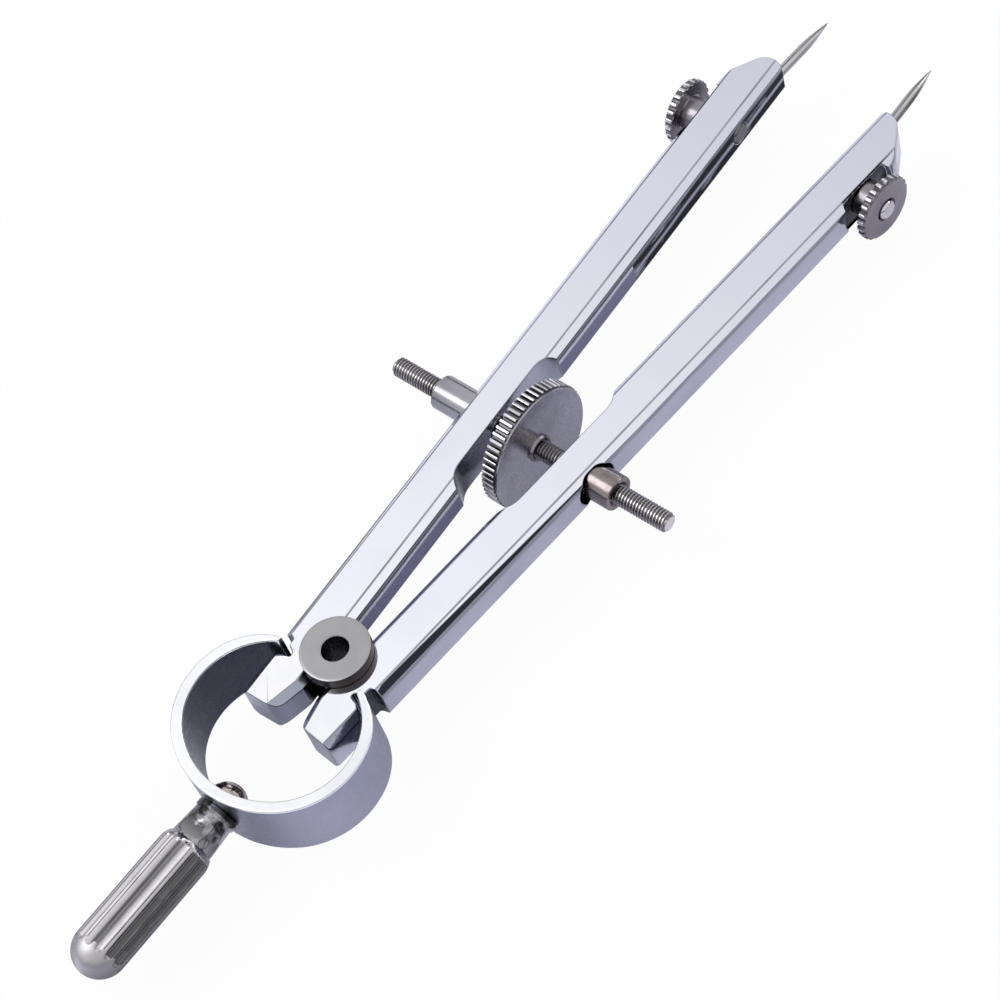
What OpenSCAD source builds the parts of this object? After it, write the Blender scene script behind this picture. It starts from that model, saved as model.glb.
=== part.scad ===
// Spring-bow dividers with two needle points, set by a wheel on a centre screw.
// The pivot axis is Z through the origin, the legs point along +Y and +Z is the front.
// Leg shapes are drawn for the right leg lying along Y, then turned to the rest angle.
// The left side is the mirror image of the right side.

/* [Legs] */
// Half of the angle between the legs at rest, degrees
leg_angle = 3.68; // [1:0.01:8]
// Length of a leg from the pivot axis to the end of its nose
leg_nose = 113.3; // [95:0.1:140]
// Length of a leg's head below the pivot axis
leg_head = 10.8; // [9.5:0.1:12]
// Width of a leg
leg_w = 7.16; // [6.5:0.01:9]
// Thickness of a leg from front to back
leg_t = 6.48; // [5.8:0.01:8]
// Distance between the inner faces when the legs are parallel
leg_gap = 3.38; // [3:0.01:4]
// Chamfer along the long edges
leg_chamfer = 1.03; // [0.3:0.01:1.2]
// Distance from the pivot axis to where the head's inner side starts to taper
head_taper_start = 6.2; // [4.5:0.1:6.4]
// Offset of the head's inner corner from the middle line
head_corner = 3.0; // [2.6:0.1:4]
// Length of the slope on the nose
nose_slope = 5.9; // [3:0.1:9]
// Width of the flat end of the nose
nose_end_w = 3.1; // [2.2:0.1:4]

/* [Travel] */
// Half angle at which the needle points meet, degrees
closed_angle = -0.4; // [-0.5:0.05:0.5]
// Half angle at which the screw runs out, degrees
open_angle = 14.68; // [8:0.01:14.8]
// Clearance left at both ends of the travel
travel_gap = 0.12; // [0.08:0.01:0.3]

/* [Pivot] */
// Diameter of the barrel that the legs turn on
barrel_d = 7.6; // [6.5:0.1:8.4]
// Diameter of the bore through the pivot
pivot_bore_d = 4.0; // [3:0.1:4.4]
// Diameter of the barrel's spigots that hold the washers
spigot_d = 5.0; // [4.6:0.1:6]
// Diameter of the pivot washers
washer_d = 10.03; // [9:0.01:12]
// Thickness of a pivot washer
washer_t = 1.83; // [1:0.01:2.5]

/* [Bow spring] */
// Width of the bow across the legs, outside
bow_across = 29.12; // [26:0.01:34]
// Length of the bow along the legs, outside
bow_along = 26.08; // [24:0.01:32]
// Thickness of the spring band
bow_t = 1.7; // [1.2:0.05:2.2]
// Width of the spring band from front to back
bow_w = 11.18; // [8:0.01:14]
// Distance from the pivot axis to the centre of the bow
bow_drop = 13.0; // [12.5:0.05:14]
// Half of the distance between the two ends of the band
bow_end_x = 7.2; // [6.8:0.05:7.6]
// Thickness of the band at its thin ends
bow_end_t = 0.75; // [0.6:0.05:1.2]
// Direction in which the ends start to thin, degrees up from the bow's widest point
bow_thin_from = 18; // [10:2:30]

/* [Handle] */
// Length of the handle
handle_l = 27.4; // [20:0.1:40]
// Diameter of the fluted grip
grip_d = 7.7; // [6:0.1:10]
// Diameter of the neck at the bow
neck_d = 5.6; // [4.5:0.1:6]
// Length of the smooth neck
neck_l = 5.8; // [4:0.1:9]
// Number of flutes around the grip
flutes = 14; // [8:1:18]
// Width of one flute
flute_w = 1.25; // [0.6:0.05:1.4]
// Diameter of the rivet's shank
rivet_d = 2.8; // [2:0.1:3.2]
// Diameter of the rivet's head
rivet_head_d = 5.7; // [3.8:0.1:6]
// Height of the rivet's head
rivet_head_h = 2.5; // [1:0.1:2.5]

/* [Adjusting screw] */
// Distance from the pivot axis to the screw at rest
screw_y = 41.7; // [36:0.1:50]
// Diameter of the adjusting screw
screw_d = 3.0; // [2.5:0.1:3.2]
// Reach of the screw to the left of the middle
screw_left = 25.9; // [25:0.1:30]
// Reach of the screw to the right of the middle
screw_right = 24.0; // [23.5:0.1:30]
// Diameter of the adjusting wheel
wheel_d = 19.25; // [15:0.05:22]
// Thickness of the adjusting wheel
wheel_t = 2.65; // [1.6:0.05:2.8]
// Shift of the wheel's middle along the screw
wheel_shift = -0.32; // [-0.4:0.01:0.4]
// Number of teeth around the wheel
wheel_teeth = 60; // [36:1:72]
// Depth of the teeth
tooth_depth = 0.42; // [0.2:0.01:0.6]
// Width of the plain band beside the teeth
wheel_band = 0.45; // [0.2:0.05:0.8]

/* [Sleeve nuts] */
// Diameter of a sleeve nut
nut_d = 5.3; // [4.6:0.05:5.5]
// Reach of the left nut outwards from the centre of its seat
nut_reach_left = 6.8; // [5:0.1:8]
// Reach of the right nut outwards from the centre of its seat
nut_reach_right = 4.6; // [4:0.1:8]
// Radius of the nut's ball end
seat_r = 3.5; // [3.2:0.05:3.7]
// Depth of the ball end's centre below the leg's outer face
seat_inset = 1.05; // [0.8:0.05:1.4]

/* [Needle clamps] */
// Diameter of a needle
needle_d = 1.5; // [1:0.05:1.8]
// Length of a needle
needle_l = 34; // [28:0.5:40]
// How far a needle stands out of the nose
needle_out = 11.6; // [8:0.1:16]
// Length of a needle's point
point_l = 6.0; // [3:0.1:9]
// Inward lean of a needle against its leg, degrees
needle_lean = 6.6; // [3:0.1:8]
// Offset of the needle from the middle line at the end of the nose
needle_in = 2.7; // [2.6:0.05:3.2]
// Distance from the end of the nose back to the clamp studs
clamp_back = 12.1; // [10:0.1:16]
// Diameter of a clamp stud
stud_d = 3.2; // [3:0.05:3.6]
// Diameter of the stud's threaded end
stud_thread_d = 3.0; // [2.6:0.05:3]
// Diameter of the cross hole in a stud
stud_hole_d = 2.0; // [1.9:0.05:2.2]
// Diameter of a thumb nut
thumb_d = 10.1; // [8:0.1:12]
// Thickness of the thumb nut's rim
thumb_t = 1.4; // [1:0.05:2]
// Distance from the leg's outer face to the thumb nut's outer face
thumb_reach = 3.19; // [2.4:0.01:4]
// Diameter of the thumb nut's hub
thumb_hub_d = 5.4; // [5:0.1:7]
// Number of teeth around a thumb nut
thumb_teeth = 24; // [16:1:30]
// Depth of the pocket that a thumb nut turns in
pocket_depth = 0.95; // [0.5:0.05:1.2]

/* [Fits] */
// Radial clearance of what turns or slides
run_gap = 0.05; // [0.02:0.01:0.1]
// Radial clearance of what is pressed or riveted together
press_gap = 0.01; // [0.01:0.01:0.02]
// End clearance between the washers and the legs
side_gap = 0.05; // [0.03:0.01:0.15]

/* [Hidden] */
$fn = 64;

chrome_color = [0.80, 0.82, 0.88];
bow_color = [0.55, 0.57, 0.64];
nickel_color = [0.62, 0.60, 0.60];
warm_nickel_color = [0.60, 0.54, 0.53];
steel_color = [0.66, 0.66, 0.67];
rivet_color = [0.42, 0.36, 0.34];

far = 80; // reaches past every piece
half_t = leg_t / 2;
leg_in = leg_gap / 2;
leg_out = leg_in + leg_w;

// The bow is an oval of four arcs, which meet on lines that slope like a 3-4-5 triangle's long side.
// Side arcs turn about (+-bow_side_x, 0) and end arcs about (0, +-bow_end_y) from the bow's centre.
bow_k = (bow_across - bow_along) / 4;
bow_side_x = 3 * bow_k;
bow_end_y = 4 * bow_k;
bow_side_r = (bow_along - bow_t) / 2 - bow_k;
bow_end_r = bow_side_r + 5 * bow_k;
bow_bottom = -bow_drop - bow_along / 2;
// The ends thin along an arc that leaves the side arc's outside and runs down to the band's tip
bow_side_c = [bow_side_x, -bow_drop];
bow_outer_r = bow_side_r + bow_t / 2;
bow_tip = [bow_end_x, bow_y(bow_end_x, 1) - (bow_t - bow_end_t) / cos(asin(bow_end_x / bow_end_r))];
thin_dir = [cos(bow_thin_from), sin(bow_thin_from)];
thin_arm = bow_tip - bow_side_c;
thin_r = norm(thin_arm - bow_outer_r * thin_dir) ^ 2 / (2 * (bow_outer_r - thin_arm * thin_dir));
thin_c = bow_side_c + (bow_outer_r - thin_r) * thin_dir;

seat_v = leg_out - seat_inset;
seat_u = (screw_y + seat_v * sin(leg_angle)) / cos(leg_angle);
seat_x = seat_u * sin(leg_angle) + seat_v * cos(leg_angle);

relief_margin = 2.6; // free length beyond the wheel's rim at each end
relief_depth = 1.66;
relief_cutter_r = 4;
relief_floor = leg_in + relief_depth;
relief_mid = screw_y / cos(leg_angle);
relief_half = wheel_d / 2 + relief_margin;

clamp_u = leg_nose - clamp_back;
pocket_floor = leg_out - pocket_depth;
pocket_r = thumb_d / 2 + 0.2;
thumb_face = leg_out + thumb_reach;
thumb_back = thumb_face - thumb_t;
hub_end = pocket_floor + side_gap;
stud_proud = 0.2;
stud_end = thumb_face + 0.55;
shoulder_v = pocket_floor - 0.5;

function unit(v) = v / norm(v);
// A point fixed to the frame, seen from the right leg when it stands at half angle a
function in_leg(p, a) = [p[0] * cos(a) - p[1] * sin(a), p[0] * sin(a) + p[1] * cos(a)];
// Height of the full band's outer (s = 1) or inner (s = -1) surface near its ends
function bow_y(x, s) = -bow_drop - bow_end_y + sqrt((bow_end_r + s * bow_t / 2) ^ 2 - x ^ 2);
// A corner at b between a and c, rounded so that it leaves the straight sides at distance r
function corner(a, b, c, r, n = 6) = r == 0 ? [b] : [
    for (i = [0 : n])
        let (t = i / n, p = b + r * unit(a - b), q = b + r * unit(c - b))
            (1 - t) ^ 2 * p + 2 * t * (1 - t) * b + t ^ 2 * q
];
function rounded(pts, r) = [
    for (i = [0 : len(pts) - 1])
        each corner(pts[(i + len(pts) - 1) % len(pts)], pts[i], pts[(i + 1) % len(pts)], r[i])
];

// Turns leg coordinates (across, along, front) to the rest angle, on the right or the left
module on_leg(side) {
    mirror([side < 0 ? 1 : 0, 0, 0]) rotate([0, 0, -leg_angle]) children();
}

// A bar along Y between v0 and v1, with chamfered edges at v0 and, if both is set, at v1
module chamfered_bar(v0, v1, u0, u1, both) {
    c = leg_chamfer;
    outer = both
        ? [[v1 - c, -half_t], [v1, -half_t + c], [v1, half_t - c], [v1 - c, half_t]]
        : [[v1, -half_t], [v1, half_t]];
    inner = [[v0 + c, half_t], [v0, half_t - c], [v0, -half_t + c], [v0 + c, -half_t]];
    translate([0, u1, 0]) rotate([90, 0, 0]) linear_extrude(u1 - u0) polygon(concat(outer, inner));
}

// A cylinder across the leg, along v
module across(r, v0, v1, u = 0, z = 0) {
    translate([v0, u, z]) rotate([0, 90, 0]) cylinder(h = v1 - v0, r = r);
}

// A straight slot with round ends across the leg: half height r, from u0 to u1
module cross_slot(r, v0, v1, u0, u1) {
    across(r, v0, v1, u0 + r);
    across(r, v0, v1, u1 - r);
    translate([v0, u0 + r, -r]) cube([v1 - v0, u1 - u0 - 2 * r, 2 * r]);
}

module leg_outline() {
    pts = [
        [leg_in, -head_taper_start],
        [head_corner, -leg_head],
        [leg_out, -leg_head],
        [leg_out, leg_nose - nose_slope],
        [leg_in + nose_end_w, leg_nose],
        [leg_in, leg_nose]
    ];
    translate([0, 0, -far]) linear_extrude(2 * far) polygon(rounded(pts, [0, 1.6, 0.6, 1.5, 1.5, 0.5]));
}

// The chamfered blank: the bar, met by a second bar along the head's tapered side
module leg_blank() {
    taper = atan2(head_corner - leg_in, leg_head - head_taper_start);
    intersection() {
        chamfered_bar(leg_in, leg_out, -leg_head - 1, leg_nose + 1, true);
        translate([leg_in, -head_taper_start, 0]) rotate([0, 0, taper])
            chamfered_bar(0, far, -far, 2 * leg_nose, false);
        leg_outline();
    }
}

// Milled relief that lets the wheel's rim in between the legs
module wheel_relief() {
    lo = relief_mid - relief_half;
    hi = relief_mid + relief_half;
    // the cutter's arc reaches the inner face this far before its centre
    run = sqrt(relief_cutter_r ^ 2 - (relief_cutter_r - relief_depth) ^ 2);
    axis_v = relief_floor - relief_cutter_r;
    for (u = [lo + run, hi - run])
        translate([axis_v, u, -far]) cylinder(h = 2 * far, r = relief_cutter_r);
    translate([axis_v, lo + run, -far]) cube([relief_cutter_r, hi - lo - 2 * run, 2 * far]);
}

// Notch for the end of the bow, shaped by the band's two limits of travel
module bow_notch() {
    side_x = leg_out - 0.4;
    side_top = [side_x, thin_c[1] + sqrt(thin_r ^ 2 - (side_x - thin_c[0]) ^ 2)];
    tip_low = [bow_end_x, bow_y(bow_end_x, -1)];
    low_x = leg_out + 0.1;
    side_low = [low_x, bow_y(low_x, -1)];
    a = in_leg(bow_tip, open_angle) + [0, travel_gap];
    b = in_leg(side_top, open_angle) + [0, travel_gap];
    c = in_leg(tip_low, closed_angle) - [0, travel_gap];
    d = in_leg(side_low, closed_angle) - [0, travel_gap];
    floor_v = in_leg(bow_tip, leg_angle)[0] - 0.3;
    undercut = 1.2; // how far the notch runs in behind the band's inner edge
    out = leg_out + 1;
    pts = [
        [out, b[1] + (out - b[0]) * (b[1] - a[1]) / (b[0] - a[0])],
        a,
        [floor_v, a[1] - 0.35],
        [floor_v, a[1] - 1.4],
        [floor_v - undercut, c[1] + 0.95],
        [floor_v - undercut, c[1] + 0.3],
        c,
        [out, d[1] + (out - d[0]) * (d[1] - c[1]) / (d[0] - c[0])]
    ];
    radii = [0, 0.2, 0.2, 0.3, 0.25, 0.25, 0.2, 0];
    translate([0, 0, -far]) linear_extrude(2 * far) polygon(rounded(pts, radii));
}

// Seat of a sleeve nut: a slot through the outer face with a ball-shaped floor
module nut_seat() {
    r = nut_d / 2;
    slot_r = r + 0.2;
    ball = seat_r + run_gap;
    rim = asin(r / seat_r);
    u0 = -seat_r * sin(rim + open_angle) - 0.5;
    u1 = seat_inset * tan(open_angle) + r / cos(open_angle) + 0.15;
    translate([0, seat_u, 0]) intersection() {
        cross_slot(slot_r, seat_v - far / 2, seat_v + far / 2, u0, u1);
        union() {
            translate([seat_v, 0, 0]) sphere(r = ball);
            translate([seat_v, -far / 2, -far / 2]) cube(far);
        }
    }
    hole_r = screw_d / 2 + 0.15;
    deep = seat_v - relief_floor;
    cut_u0 = -deep * tan(open_angle) - screw_d / 2 / cos(open_angle) - travel_gap;
    cut_u1 = hole_r + 0.1;
    // the slot for the screw runs out to where the open screw leaves the ball's floor
    cut_v1 = seat_v - sqrt(ball ^ 2 - hole_r ^ 2) * cos(open_angle) + hole_r * sin(open_angle) + 0.1;
    translate([0, seat_u, 0]) cross_slot(hole_r, leg_in - 1, cut_v1, cut_u0, cut_u1);
}

// Places children, drawn along +Y with y = 0 at the end of the nose, on the needle's line
module on_needle_line() {
    translate([needle_in, leg_nose, 0]) rotate([0, 0, needle_lean]) children();
}

module needle_bore() {
    depth = needle_l - needle_out + 2.5;
    on_needle_line() translate([0, 2, 0]) rotate([90, 0, 0])
        cylinder(h = depth + 2, r = needle_d / 2 + run_gap);
}

module leg() {
    difference() {
        leg_blank();
        translate([0, 0, -far]) cylinder(h = 2 * far, r = barrel_d / 2 + run_gap);
        wheel_relief();
        bow_notch();
        nut_seat();
        needle_bore();
        across(stud_d / 2 + run_gap, leg_in - 1, leg_out + 1, clamp_u);
        across(pocket_r, pocket_floor, leg_out + 1, clamp_u);
    }
}

module left_leg() {
    color(chrome_color) on_leg(-1) leg();
}

module right_leg() {
    color(chrome_color) on_leg(1) leg();
}

// Band of the spring between the radii r0 and r1 about (x, y), in the wedge between d0 and d1
module band_arc(x, y, r0, r1, d0, d1) {
    translate([x, y - bow_drop, 0]) intersection() {
        chamfered_ring(r0, r1);
        translate([0, 0, -far]) linear_extrude(2 * far) polygon([[0, 0], far * d0, far * d1]);
    }
}

// Ring as wide as the band, with small chamfers along its edges
module chamfered_ring(r0, r1) {
    e = 0.2;
    w = bow_w / 2;
    rotate_extrude($fn = 180) polygon([
        [r0, -w + e], [r0 + e, -w], [r1 - e, -w], [r1, -w + e],
        [r1, w - e], [r1 - e, w], [r0 + e, w], [r0, w - e]
    ]);
}

// End of the band, from where it starts to thin up to past its tip
module thin_end() {
    inside = bow_t / 2;
    spare = 1;
    intersection() {
        union() {
            band_arc(bow_side_x, 0, bow_side_r - inside, bow_outer_r + spare, thin_dir, [0.6, 0.8]);
            band_arc(0, -bow_end_y, bow_end_r - inside, bow_end_r + inside + spare, [0.6, 0.8], [0, 1]);
        }
        translate([thin_c[0], thin_c[1], 0]) chamfered_ring(1, thin_r);
    }
}

module bow_spring() {
    t = bow_t / 2;
    color(bow_color) difference() {
        union() {
            band_arc(0, bow_end_y, bow_end_r - t, bow_end_r + t, [-0.6, -0.8], [0.6, -0.8]);
            for (side = [0, 1]) mirror([side, 0, 0]) {
                band_arc(bow_side_x, 0, bow_side_r - t, bow_side_r + t, [0.6, -0.8], thin_dir);
                thin_end();
            }
        }
        translate([-bow_end_x, -bow_drop, -far]) cube([2 * bow_end_x, far, 2 * far]);
        translate([0, bow_bottom - 1, 0]) rotate([-90, 0, 0])
            cylinder(h = bow_t + 2, r = rivet_d / 2 + press_gap);
    }
}

// Places children, drawn along +Z from the bow outwards, on the handle's axis
module on_handle_axis() {
    translate([0, bow_bottom - press_gap, 0]) rotate([90, 0, 0]) children();
}

module handle_body() {
    r = grip_d / 2;
    shoulder = 1.7; // length of the rounded shoulder between neck and grip
    flange_h = 0.9;
    cylinder(h = flange_h, r = neck_d / 2 + 0.3);
    cylinder(h = neck_l, r1 = neck_d / 2, r2 = neck_d / 2 + 0.4);
    intersection() {
        translate([0, 0, neck_l + shoulder]) sphere(r = r);
        translate([-r, -r, neck_l - 0.1]) cube([2 * r, 2 * r, shoulder + 0.1]);
    }
    translate([0, 0, neck_l + shoulder]) cylinder(h = handle_l - r - neck_l - shoulder, r = r);
    translate([0, 0, handle_l - r]) sphere(r = r);
}

module flute() {
    depth = 0.36;
    cutter_r = (flute_w ^ 2 / 4 + depth ^ 2) / (2 * depth);
    z0 = neck_l + 1.1;
    z1 = handle_l - grip_d / 2 + 0.3;
    translate([grip_d / 2 + cutter_r - depth, 0, z0]) {
        cylinder(h = z1 - z0, r = cutter_r, $fn = 24);
        sphere(r = cutter_r, $fn = 24);
        translate([0, 0, z1 - z0]) sphere(r = cutter_r, $fn = 24);
    }
}

module handle() {
    rivet_depth = 6;
    color(chrome_color) on_handle_axis() difference() {
        handle_body();
        for (i = [0 : flutes - 1]) rotate([0, 0, (i + 0.5) * 360 / flutes]) flute();
        translate([0, 0, -1]) cylinder(h = rivet_depth + 1, r = rivet_d / 2 + press_gap);
    }
}

module handle_rivet() {
    shank_l = 5.8; // length of the shank inside the handle
    head_r = rivet_head_d / 2;
    dome_r = (head_r ^ 2 + rivet_head_h ^ 2) / (2 * rivet_head_h);
    inner_r = bow_end_r - bow_t / 2;
    // the flat under the head clears the curve of the band
    base = bow_t + press_gap + inner_r - sqrt(inner_r ^ 2 - head_r ^ 2) + press_gap;
    color(rivet_color) on_handle_axis() {
        translate([0, 0, -base]) cylinder(h = base + shank_l, r = rivet_d / 2);
        intersection() {
            translate([0, 0, -base - rivet_head_h + dome_r]) sphere(r = dome_r);
            translate([-head_r, -head_r, -base - rivet_head_h]) cube([2 * head_r, 2 * head_r, rivet_head_h]);
        }
    }
}

// Barrel with a bore right through, and a spigot at each end for its washer
module pivot_barrel() {
    shoulder_z = half_t + side_gap;
    end_z = shoulder_z + washer_t;
    bore_r = pivot_bore_d / 2;
    spigot_r = spigot_d / 2;
    bevel = 0.2;
    barrel_r = barrel_d / 2;
    color(steel_color) rotate_extrude() polygon([
        [bore_r, -end_z + bevel], [bore_r + bevel, -end_z], [spigot_r, -end_z],
        [spigot_r, -shoulder_z], [barrel_r, -shoulder_z], [barrel_r, shoulder_z],
        [spigot_r, shoulder_z], [spigot_r, end_z], [bore_r + bevel, end_z], [bore_r, end_z - bevel]
    ]);
}

module washer() {
    z0 = half_t + side_gap;
    z1 = z0 + washer_t;
    r0 = spigot_d / 2 + press_gap;
    r1 = washer_d / 2;
    e = 0.12;
    rotate_extrude() polygon([
        [r0, z0], [r1 - e, z0], [r1, z0 + e], [r1, z1 - e], [r1 - e, z1], [r0, z1]
    ]);
}

module front_washer() {
    color(nickel_color) washer();
}

module rear_washer() {
    color(nickel_color) mirror([0, 0, 1]) washer();
}

// Sleeve with a ball end, centred on its seat and pointing outwards along +X
module sleeve_nut(reach) {
    r = nut_d / 2;
    e = 0.2;
    difference() {
        union() {
            intersection() {
                sphere(r = seat_r);
                translate([-seat_r - 1, 0, 0]) rotate([0, 90, 0]) cylinder(h = seat_r + 1, r = r);
            }
            rotate([0, 90, 0]) rotate_extrude()
                polygon([[0, 0], [r, 0], [r, reach - e], [r - e, reach], [0, reach]]);
        }
        translate([-seat_r - 1, 0, 0]) rotate([0, 90, 0])
            cylinder(h = seat_r + reach + 2, r = screw_d / 2 + run_gap);
    }
}

module left_sleeve_nut() {
    color(steel_color) mirror([1, 0, 0]) translate([seat_x, screw_y, 0]) sleeve_nut(nut_reach_left);
}

module right_sleeve_nut() {
    color(warm_nickel_color) translate([seat_x, screw_y, 0]) sleeve_nut(nut_reach_right);
}

module adjusting_screw() {
    r = screw_d / 2;
    e = 0.4;
    color(nickel_color) translate([0, screw_y, 0]) rotate([0, 90, 0]) rotate_extrude() polygon([
        [0, -screw_left], [r - e, -screw_left], [r, -screw_left + e],
        [r, screw_right - e], [r - e, screw_right], [0, screw_right]
    ]);
}

// Straight teeth around the rim: one tooth is a narrow crest between two slopes
module toothed_disc(d, n, depth, h) {
    pitch = 360 / n;
    linear_extrude(h) polygon([
        for (i = [0 : n - 1], k = [[-0.38, depth], [-0.14, 0], [0.14, 0], [0.38, depth]])
            let (a = (i + k[0]) * pitch, r = d / 2 - k[1]) r * [cos(a), sin(a)]
    ]);
}

module adjusting_wheel() {
    r = wheel_d / 2;
    e = 0.2;
    hub_r = 2.0;
    hub_h = 0.3;
    teeth_t = wheel_t - wheel_band;
    color(nickel_color) translate([wheel_shift - wheel_t / 2, screw_y, 0]) rotate([0, 90, 0]) difference() {
        union() {
            toothed_disc(wheel_d, wheel_teeth, tooth_depth, teeth_t);
            translate([0, 0, teeth_t]) rotate_extrude() polygon([
                [0, -0.5], [r - 1, -0.5], [r - 1, 0], [r - 0.1, 0],
                [r - 0.1, wheel_band - e], [r - 0.1 - e, wheel_band], [0, wheel_band]
            ]);
            translate([0, 0, -hub_h]) cylinder(h = wheel_t + 2 * hub_h, r = hub_r);
        }
        translate([0, 0, -1]) cylinder(h = wheel_t + 2, r = screw_d / 2 + run_gap);
    }
}

module needle() {
    r = needle_d / 2;
    tip_r = 0.06;
    steps = 6;
    // the point follows an arc that starts in line with the shank
    ogive = [
        for (i = [0 : steps])
            let (t = i / steps) [tip_r + (r - tip_r) * (1 - t ^ 1.7), -point_l * (1 - t)]
    ];
    on_needle_line() translate([0, needle_out, 0]) rotate([-90, 0, 0]) rotate_extrude($fn = 32)
        polygon(concat([[0, -needle_l], [r - 0.15, -needle_l], [r, -needle_l + 0.15]], ogive, [[0, 0]]));
}

module left_needle() {
    color(steel_color) on_leg(-1) needle();
}

module right_needle() {
    color(steel_color) on_leg(1) needle();
}

// Stud through the leg, with a cross hole that draws the needle against its bore
module clamp_stud() {
    r = stud_d / 2;
    tr = stud_thread_d / 2;
    v0 = leg_in - stud_proud;
    e = 0.35;
    slack = stud_hole_d / 2 - needle_d / 2 - run_gap;
    difference() {
        translate([0, clamp_u, 0]) rotate([0, 90, 0]) rotate_extrude() polygon([
            [0, v0], [r - e, v0], [r, v0 + e], [r, shoulder_v], [tr, shoulder_v],
            [tr, stud_end - e], [tr - e, stud_end], [0, stud_end]
        ]);
        on_needle_line() translate([slack, 0, 0]) rotate([90, 0, 0])
            cylinder(h = 2 * clamp_back, r = stud_hole_d / 2);
    }
}

module left_clamp_stud() {
    color(nickel_color) on_leg(-1) clamp_stud();
}

module right_clamp_stud() {
    color(nickel_color) on_leg(1) clamp_stud();
}

// Nut with a hub against the leg and coarse rounded grooves around its rim
module thumb_nut() {
    r = thumb_d / 2;
    e = 0.2;
    crown = 0.35; // bevel that takes the grooves off the outer face
    groove_r = 0.42;
    difference() {
        translate([0, clamp_u, 0]) rotate([0, 90, 0]) rotate_extrude() polygon([
            [stud_thread_d / 2 + run_gap, hub_end], [thumb_hub_d / 2, hub_end],
            [thumb_hub_d / 2, thumb_back], [r - e, thumb_back], [r, thumb_back + e],
            [r, thumb_face - crown], [r - crown, thumb_face], [stud_thread_d / 2 + run_gap + e, thumb_face],
            [stud_thread_d / 2 + run_gap, thumb_face - e]
        ]);
        for (i = [0 : thumb_teeth - 1])
            translate([0, clamp_u, 0]) rotate([(i + 0.5) * 360 / thumb_teeth, 0, 0])
                across(groove_r, thumb_back - 1, thumb_face + 1, r + 0.12, $fn = 16);
    }
}

module left_thumb_nut() {
    color(nickel_color) on_leg(-1) thumb_nut();
}

module right_thumb_nut() {
    color(nickel_color) on_leg(1) thumb_nut();
}

bow_spring();
handle();
handle_rivet();
pivot_barrel();
front_washer();
rear_washer();
left_leg();
right_leg();
left_sleeve_nut();
right_sleeve_nut();
adjusting_screw();
adjusting_wheel();
left_needle();
right_needle();
left_clamp_stud();
right_clamp_stud();
left_thumb_nut();
right_thumb_nut();
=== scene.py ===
import math

import bmesh
import bpy
from mathutils import Matrix, Vector


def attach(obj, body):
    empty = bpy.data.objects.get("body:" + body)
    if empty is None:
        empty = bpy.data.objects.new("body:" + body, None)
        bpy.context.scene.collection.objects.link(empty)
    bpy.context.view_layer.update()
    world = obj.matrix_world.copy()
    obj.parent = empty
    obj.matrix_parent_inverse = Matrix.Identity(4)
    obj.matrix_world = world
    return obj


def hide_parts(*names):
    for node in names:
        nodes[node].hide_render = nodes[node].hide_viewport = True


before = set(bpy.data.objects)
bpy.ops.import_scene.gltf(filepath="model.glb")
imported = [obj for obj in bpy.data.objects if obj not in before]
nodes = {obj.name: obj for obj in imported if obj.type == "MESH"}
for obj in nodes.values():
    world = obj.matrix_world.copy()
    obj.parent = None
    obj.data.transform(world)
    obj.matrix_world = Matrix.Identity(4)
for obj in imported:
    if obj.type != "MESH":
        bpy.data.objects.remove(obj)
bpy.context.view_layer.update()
scene = bpy.context.scene
print("compass: frame loaded")

# lengths of pieces are millimetres; finishes, light and floor are in metres
toMetres = Matrix.Scale(0.001, 4)
legAngle = math.radians(3.68)
legCos, legSin = math.cos(legAngle), math.sin(legAngle)
screwHeight = 41.7
fullTurn = 2 * math.pi
sides = {"left": -1, "right": 1}

photoView = {
    "right": (0.756318, 0.621489, -0.204288),
    "up": (-0.452531, 0.722513, 0.522675),
    "back": (0.472438, -0.302862, 0.827693),
    "shift": (155.66, 166.51, 2768.8),  # in picture pixels, seen from the pivot
    "pixelsPerMm": 7.4,
    "picture": 1000,
    "sensor": 36,
}


def placeCamera(look):
    turn = Matrix((look["right"], look["up"], look["back"])).transposed()
    spot = turn @ Vector(look["shift"]) / look["pixelsPerMm"] * 0.001
    cam = bpy.data.objects.new("photoCamera", bpy.data.cameras.new("photoCamera"))
    cam.matrix_world = Matrix.Translation(spot) @ turn.to_4x4()
    cam.data.sensor_width = look["sensor"]
    cam.data.lens = look["sensor"] * look["shift"][2] / look["picture"]
    cam.data.clip_start = 0.01
    cam.data.clip_end = 20
    scene.collection.objects.link(cam)
    scene.camera = cam


placeCamera(photoView)


def nodeTools(mat):
    tree = mat.node_tree

    def add(kind, **sockets):
        node = tree.nodes.new(kind)
        for key, value in sockets.items():
            if key in node.inputs:
                node.inputs[key].default_value = value
            else:
                setattr(node, key, value)
        return node

    return tree, add


def scaled(tree, value, factor):
    times = tree.nodes.new("ShaderNodeMath")
    times.operation = "MULTIPLY"
    tree.links.new(value, times.inputs[0])
    if isinstance(factor, float):
        times.inputs[1].default_value = factor
    else:
        tree.links.new(factor, times.inputs[1])
    return times.outputs[0]


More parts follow.
